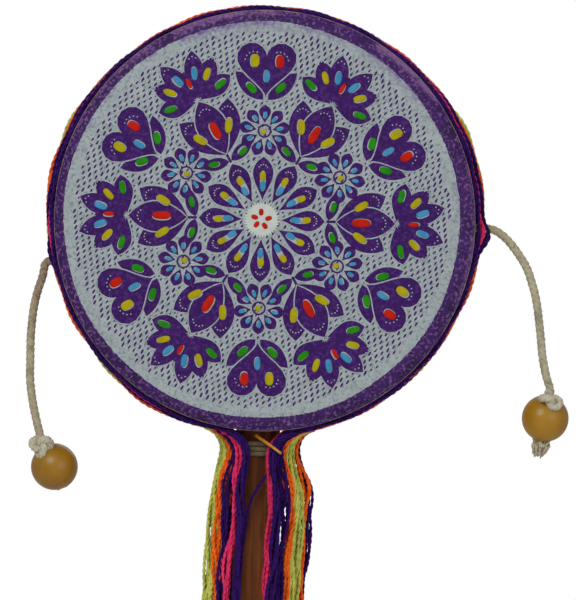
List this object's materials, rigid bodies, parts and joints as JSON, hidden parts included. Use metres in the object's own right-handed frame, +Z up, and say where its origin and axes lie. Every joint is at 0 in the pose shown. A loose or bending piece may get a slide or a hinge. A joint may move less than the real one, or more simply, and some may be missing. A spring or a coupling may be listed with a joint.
{
  "type": "pellet drum rattle",
  "caption": "Shallow two-headed toy drum on a stick, with wooden pellets on cotton cords that strike the heads when the stick is spun, and yarn tassels.",
  "frame": {"origin": "middle of the bare grip of the stick, on the stick's axis, where a hand or a stand holds it", "axes": "+Z up along the stick to the drum; +Y from the printed front head to the back head, along the drum's axis; +X to the right seen from the front"},
  "size_m": [0.1743, 0.0362, 0.289],
  "materials": {
    "hoop_wood": "bare pale wood",
    "hide": "purple dyed hide, worn along the rim, with a cream cut edge",
    "stained_wood": "dark red-brown stain over straight grain, satin",
    "pin_steel": "plain steel pin",
    "white_thread": "white cotton thread",
    "yarn_purple": "dark purple acrylic yarn, plied",
    "yarn_pink": "hot pink acrylic yarn, plied",
    "yarn_orange": "orange acrylic yarn, plied",
    "yarn_lime": "lime acrylic yarn, plied",
    "cotton": "undyed twisted cotton cord",
    "lacquered_wood": "honey coloured clear lacquer on turned wood"
  },
  "bodies": {
    "drum": {"drum_hoop": "hoop_wood", "front_head": "hide", "back_head": "hide", "stick": "stained_wood", "stick_pin": "pin_steel", "stick_binding": "white_thread", "yarn_wrap_purple": "yarn_purple", "left_tassel_purple": "yarn_purple", "right_tassel_purple": "yarn_purple", "yarn_wrap_pink": "yarn_pink", "left_tassel_pink": "yarn_pink", "right_tassel_pink": "yarn_pink", "yarn_wrap_orange": "yarn_orange", "left_tassel_orange": "yarn_orange", "right_tassel_orange": "yarn_orange", "yarn_wrap_lime": "yarn_lime", "left_tassel_lime": "yarn_lime", "right_tassel_lime": "yarn_lime", "left_anchor_knot": "cotton", "right_anchor_knot": "cotton", "right_cord_lead": "cotton"},
    "left_root": {"left_cord_root": "cotton"},
    "left_upper": {"left_cord_upper": "cotton"},
    "left_lower": {"left_cord_lower": "cotton", "left_pellet_knots": "cotton", "left_pellet": "lacquered_wood"},
    "right_root": {"right_cord_root": "cotton"},
    "right_upper": {"right_cord_upper": "cotton"},
    "right_lower": {"right_cord_lower": "cotton", "right_pellet_knots": "cotton", "right_pellet": "lacquered_wood"}
  },
  "joints": [
    {"name": "left_cord_lift", "type": "hinge", "parent": "drum", "child": "left_root", "pos_m": [-0.06951, 0, 0.18259], "axis": [0, 1, 0], "range_deg": [0, 125]},
    {"name": "left_cord_swing", "type": "hinge", "parent": "left_root", "child": "left_upper", "pos_m": [-0.07051, 0, 0.17809], "axis": [1, 0, 0], "range_deg": [-90, 90]},
    {"name": "left_cord_wrap", "type": "hinge", "parent": "left_upper", "child": "left_lower", "pos_m": [-0.07371, 0, 0.15809], "axis": [1, 0, 0], "range_deg": [-81, 81]},
    {"name": "right_cord_lift", "type": "hinge", "parent": "drum", "child": "right_root", "pos_m": [0.0781, 0, 0.1942], "axis": [0, -1, 0], "range_deg": [0, 110]},
    {"name": "right_cord_swing", "type": "hinge", "parent": "right_root", "child": "right_upper", "pos_m": [0.081, 0, 0.1907], "axis": [1, 0, 0], "range_deg": [-90, 90]},
    {"name": "right_cord_wrap", "type": "hinge", "parent": "right_upper", "child": "right_lower", "pos_m": [0.0884, 0, 0.1709], "axis": [1, 0, 0], "range_deg": [-77.4, 77.4]}
  ],
  "couplings": [
    {"joint": "left_cord_wrap", "follows": "left_cord_swing", "ratio": 0.9},
    {"joint": "right_cord_wrap", "follows": "right_cord_swing", "ratio": 0.86}
  ]
}
